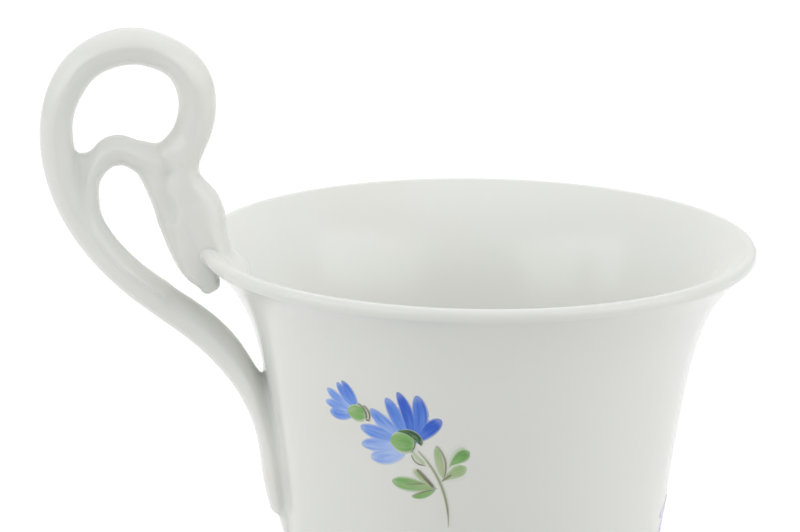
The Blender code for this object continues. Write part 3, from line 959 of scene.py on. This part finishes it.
def new_finish(name):
    """A material with its node tree and its shader, under the glaze's clear coat."""
    finish = bpy.data.materials.new(name)
    finish.use_nodes = True
    shader = finish.node_tree.nodes["Principled BSDF"]
    shader.inputs["Specular IOR Level"].default_value = 0.0
    shader.inputs["Coat Weight"].default_value = 1.0
    shader.inputs["Coat Roughness"].default_value = GLAZE_COAT_ROUGHNESS
    return finish, finish.node_tree, shader


def glazed(tree, shader, depth_group):
    """The glaze group with its colours, its ripple joined to the shader's normal."""
    # Share of pooled glaze, which also paints shade into the hollows
    pool_and_shade = add(tree, "ShaderNodeAttribute", attribute_name="pool_and_shade").outputs["Fac"]
    colours = {"Body": GLAZE_BODY, "Warm": GLAZE_WARM, "Pooled and shaded": GLAZE_POOLED_AND_SHADED, "Speck": GLAZE_SPECK}
    glaze = add(tree, "ShaderNodeGroup", {**colours, "Pool and shade": pool_and_shade}, node_tree=depth_group)
    ripple = {"Height": glaze.outputs["Height"], "Distance": RIPPLE_HEIGHT, "Strength": 1.0}
    bump = add(tree, "ShaderNodeBump", ripple)
    tree.links.new(bump.outputs["Normal"], shader.inputs["Normal"])
    return glaze


def glaze_finish(depth_group):
    """Glaze all over."""
    finish, tree, shader = new_finish("clear_glaze")
    glaze = glazed(tree, shader, depth_group)
    tree.links.new(glaze.outputs["Colour"], shader.inputs["Base Color"])
    tree.links.new(glaze.outputs["Roughness"], shader.inputs["Roughness"])
    return finish


def foot_finish(depth_group):
    """Glaze on the foot's sides, wiped away at the standing edge to show matt clay."""
    finish, tree, shader = new_finish("wiped_foot")
    glaze = glazed(tree, shader, depth_group)
    where = add(tree, "ShaderNodeTexCoord").outputs["Object"]
    level = add(tree, "ShaderNodeSeparateXYZ", {"Vector": where}).outputs["Z"]
    grain = noise(tree, where, GRAIN_SCALE, 3.0)
    waver = maths(tree, "MULTIPLY", maths(tree, "SUBTRACT", grain, 0.5), WIPE_WAVER)
    bare = eased(tree, maths(tree, "ADD", level, waver), FOOT_WIPE, FOOT_WIPE - WIPE_SOFTNESS)
    clay = mixed(tree, grain, WIPED_CLAY, tuple(CLAY_SHADE * c for c in WIPED_CLAY[:3]) + (1.0,))
    tree.links.new(mixed(tree, bare, glaze.outputs["Colour"], clay), shader.inputs["Base Color"])
    rough = add(tree, "ShaderNodeMix", {0: bare, 2: glaze.outputs["Roughness"], 3: CLAY_ROUGHNESS})
    tree.links.new(rough.outputs[0], shader.inputs["Roughness"])
    tree.links.new(maths(tree, "SUBTRACT", 1.0, bare), shader.inputs["Coat Weight"])
    return finish


def enamel_finish(name, enamel_group, colours, edge, rim, tip, cover, streak):
    """Enamel from thin to full colour, with its cover at the stroke's rim, tip and middle."""
    finish, tree, shader = new_finish(name)
    given = dict(zip(("Thin", "Middle", "Full"), colours))
    given |= {"Ground": GLAZE_BODY, "Edge": edge, "Rim": rim, "Tip": tip, "Cover": cover, "Streak": streak}
    enamel = add(tree, "ShaderNodeGroup", given, node_tree=enamel_group)
    tree.links.new(enamel.outputs["Colour"], shader.inputs["Base Color"])
    tree.links.new(enamel.outputs["Roughness"], shader.inputs["Roughness"])
    return finish


# The pieces
depth_group = glaze_depth_group()
enamel_group = brushed_enamel_group()
clear_glaze = glaze_finish(depth_group)
bowl_points, bowl_faces = turned(bowl_profile())
make_piece("bowl_glazed", bowl_points, bowl_faces, clear_glaze, ["bowl"])
foot_points, foot_faces = turned(foot_profile())
make_piece(
    "foot_glazed", foot_points, foot_faces, foot_finish(depth_group),
    ["foot_ring", "foot_slip"],
)
# The handle carries its share of pooled glaze and painted shade in its hollows
handle_points, handle_quads, handle_normals, handle_pool_and_shade = handle_surface()
make_piece(
    "handle_glazed", handle_points, [handle_quads], clear_glaze,
    [
        "handle_strap", "strap_slip", "neck_slip", "rim_leaf", "rim_slip",
        "handle_scroll", "scroll_root_slip", "scroll_tip_slip",
    ],
    attributes={"pool_and_shade": handle_pool_and_shade}, normals=handle_normals,
)
enamels = {}
for name, (colours, cover) in ENAMELS.items():
    enamels[name] = enamel_finish(name, enamel_group, colours, *cover)
for place, sprig in SPRIGS.items():
    *_, whole = sprig
    hue = "blue" if whole else "lilac"
    petals = BLOSSOM_STROKES + BUD_STROKES if whole else SMALL_BLOSSOM_STROKES
    washes = PETAL_WASHES + BUD_WASHES if whole else SMALL_PETAL_WASHES
    calyxes = CALYX_STROKES + BUD_CALYX_STROKES if whole else CALYX_STROKES
    calyx_lift = CALYX_LIFT if whole else SMALL_CALYX_LIFT
    leaves = LEAF_STROKES if whole else SMALL_LEAF_STROKES
    lines = LINE_STROKES + BUD_LINE_STROKES if whole else SMALL_LINE_STROKES
    greens = [(leaves, LEAF_FULLNESS, 0.0), (calyxes, CALYX_FULLNESS, calyx_lift)]
    layers = {"petal_wash": ([(washes, WASH_FULLNESS, WASH_LIFT)], f"{hue}_wash")}
    if whole:
        layers["leaf_wash"] = ([(LEAF_WASHES, WASH_FULLNESS, WASH_LIFT)], "green_wash")
    layers["petals"] = ([(petals, PETAL_FULLNESS, 0.0)], f"{hue}_enamel")
    layers["leaves"] = (greens, "green_enamel")
    layers["lines"] = ([(lines, LINE_FULLNESS, LINE_LIFT)], "brown_enamel")
    for layer, (groups, enamel) in layers.items():
        painted(f"sprig_{place}_{layer}", groups, sprig, enamels[enamel])

# Floor and light
FLOOR_HALF = 3.0
FLOOR_COLOUR = (0.75, 0.75, 0.75, 1.0)
FLOOR_SEEN = 0.25
# Light of the surroundings, and what the glaze mirrors of them
SKY_LEVEL = 0.2
ROOM_LEVEL = 0.65
LAMP_DISTANCE = 1.2
# Soft boxes: direction in plan from the front, elevation, width, height, radiance, mirrored by the
# glaze or not
LAMPS = {
    "front": (0, 30, 1.0, 1.0, 0.6, False),
    "front_left": (-61, 26, 1.3, 0.75, 1.1, True),
    "front_right": (61, 26, 1.3, 0.75, 1.0, True),
    "left": (-90, 15, 1.0, 1.0, 1.0, False),
    "right": (90, 15, 1.0, 1.0, 1.3, False),
    "back": (180, 25, 1.0, 1.0, 3.0, False),
    "top": (0, 89, 1.0, 1.0, 2.0, False),
}


def seen_directly(tree):
    """1 for rays from the camera, mirrors and glass; 0 for rays that carry light."""
    path = add(tree, "ShaderNodeLightPath").outputs
    seen = maths(tree, "MAXIMUM", path["Is Camera Ray"], path["Is Glossy Ray"])
    return maths(tree, "MAXIMUM", seen, path["Is Transmission Ray"])


def floor_finish():
    """Pale matt floor that shows white where it is open and keeps the cup's shadow."""
    finish = bpy.data.materials.new("pale_floor")
    finish.use_nodes = True
    tree = finish.node_tree
    tree.nodes.remove(tree.nodes["Principled BSDF"])
    matt = add(tree, "ShaderNodeBsdfDiffuse", {"Color": FLOOR_COLOUR})
    strength = maths(tree, "MULTIPLY", seen_directly(tree), FLOOR_SEEN)
    glow = add(tree, "ShaderNodeEmission", {"Strength": strength})
    both = add(tree, "ShaderNodeAddShader", {0: matt.outputs[0], 1: glow.outputs[0]})
    tree.links.new(both.outputs[0], tree.nodes["Material Output"].inputs["Surface"])
    return finish


def make_floor():
    """A wide level square under the cup."""
    mesh = bpy.data.meshes.new("floor")
    corners = [(-1, -1), (1, -1), (1, 1), (-1, 1)]
    mesh.from_pydata([(FLOOR_HALF * x, FLOOR_HALF * y, 0.0) for x, y in corners], [], [(0, 1, 2, 3)])
    mesh.materials.append(floor_finish())
    floor = bpy.data.objects.new("floor", mesh)
    bpy.context.scene.collection.objects.link(floor)


def make_sky():
    """Even light from all round, a grey room in the glaze, and white behind the cup."""
    world = bpy.data.worlds.new("studio")
    world.use_nodes = True
    tree = world.node_tree
    mirrored = add(tree, "ShaderNodeLightPath").outputs["Is Glossy Ray"]
    level = add(tree, "ShaderNodeMix", {0: mirrored, 2: SKY_LEVEL, 3: ROOM_LEVEL}).outputs[0]
    light = add(tree, "ShaderNodeBackground", {"Color": WHITE, "Strength": level})
    white = tree.nodes["Background"]
    white.inputs["Color"].default_value = WHITE
    seen = add(tree, "ShaderNodeLightPath").outputs["Is Camera Ray"]
    both = add(tree, "ShaderNodeMixShader", {0: seen, 1: light.outputs[0], 2: white.outputs[0]})
    tree.links.new(both.outputs[0], tree.nodes["World Output"].inputs["Surface"])
    bpy.context.scene.world = world


def toward(azimuth, elevation):
    """Unit vector from the cup to a place: azimuth from the front to the right, and elevation."""
    plan, rise = math.radians(azimuth), math.radians(elevation)
    return Vector((math.sin(plan) * math.cos(rise), -math.cos(plan) * math.cos(rise), math.sin(rise)))


def make_lamp(name, azimuth, elevation, width, height, radiance, mirrored):
    """A soft box that faces the middle of the cup."""
    data = bpy.data.lights.new(name, "AREA")
    data.shape = "RECTANGLE"
    data.size = width
    data.size_y = height
    data.energy = radiance * math.pi * width * height
    lamp = bpy.data.objects.new(name, data)
    away = toward(azimuth, elevation)
    lamp.location = Vector((0.0, 0.0, RIM_LEVEL)) + LAMP_DISTANCE * away
    lamp.rotation_euler = away.to_track_quat("Z", "Y").to_euler()
    lamp.visible_camera = False
    lamp.visible_glossy = mirrored
    bpy.context.scene.collection.objects.link(lamp)


# Camera: it looks at the middle of the rim from this direction and distance, and the rim's middle
# stands at this pixel of the photograph's frame
IMAGE_WIDTH, IMAGE_HEIGHT = 800, 532
VIEW_AZIMUTH = -4.5
VIEW_ELEVATION = 13.9
VIEW_ROLL = 0.846
VIEW_DISTANCE = 0.8
PIXELS_PER_METRE = 6197.0
RIM_PIXEL = (478.16, 240.37)
SENSOR = 36.0
NEAR_CLIP = 0.01


def make_camera():
    """A camera turned so that the rim's middle falls on its pixel."""
    data = bpy.data.cameras.new("camera")
    camera = bpy.data.objects.new("camera", data)
    bpy.context.scene.collection.objects.link(camera)
    focal = PIXELS_PER_METRE * VIEW_DISTANCE
    data.sensor_width = SENSOR
    data.lens = focal / IMAGE_WIDTH * SENSOR
    data.clip_start = NEAR_CLIP
    back = toward(VIEW_AZIMUTH, VIEW_ELEVATION)
    rim_middle = Vector((AXIS_X, 0.0, RIM_LEVEL))
    right_of_centre = math.atan((RIM_PIXEL[0] - IMAGE_WIDTH / 2) / focal)
    above_centre = math.atan((IMAGE_HEIGHT / 2 - RIM_PIXEL[1]) / focal)
    facing = (-back).to_track_quat("-Z", "Y").to_matrix().to_4x4()
    roll = Matrix.Rotation(math.radians(VIEW_ROLL), 4, "Z")
    aside = Matrix.Rotation(right_of_centre, 4, "Y") @ Matrix.Rotation(-above_centre, 4, "X")
    camera.matrix_world = Matrix.Translation(rim_middle + back * VIEW_DISTANCE) @ facing @ roll @ aside
    bpy.context.scene.camera = camera


make_floor()
make_sky()
for name, settings in LAMPS.items():
    make_lamp(name, *settings)
make_camera()
bpy.context.scene.view_settings.view_transform = "Standard"
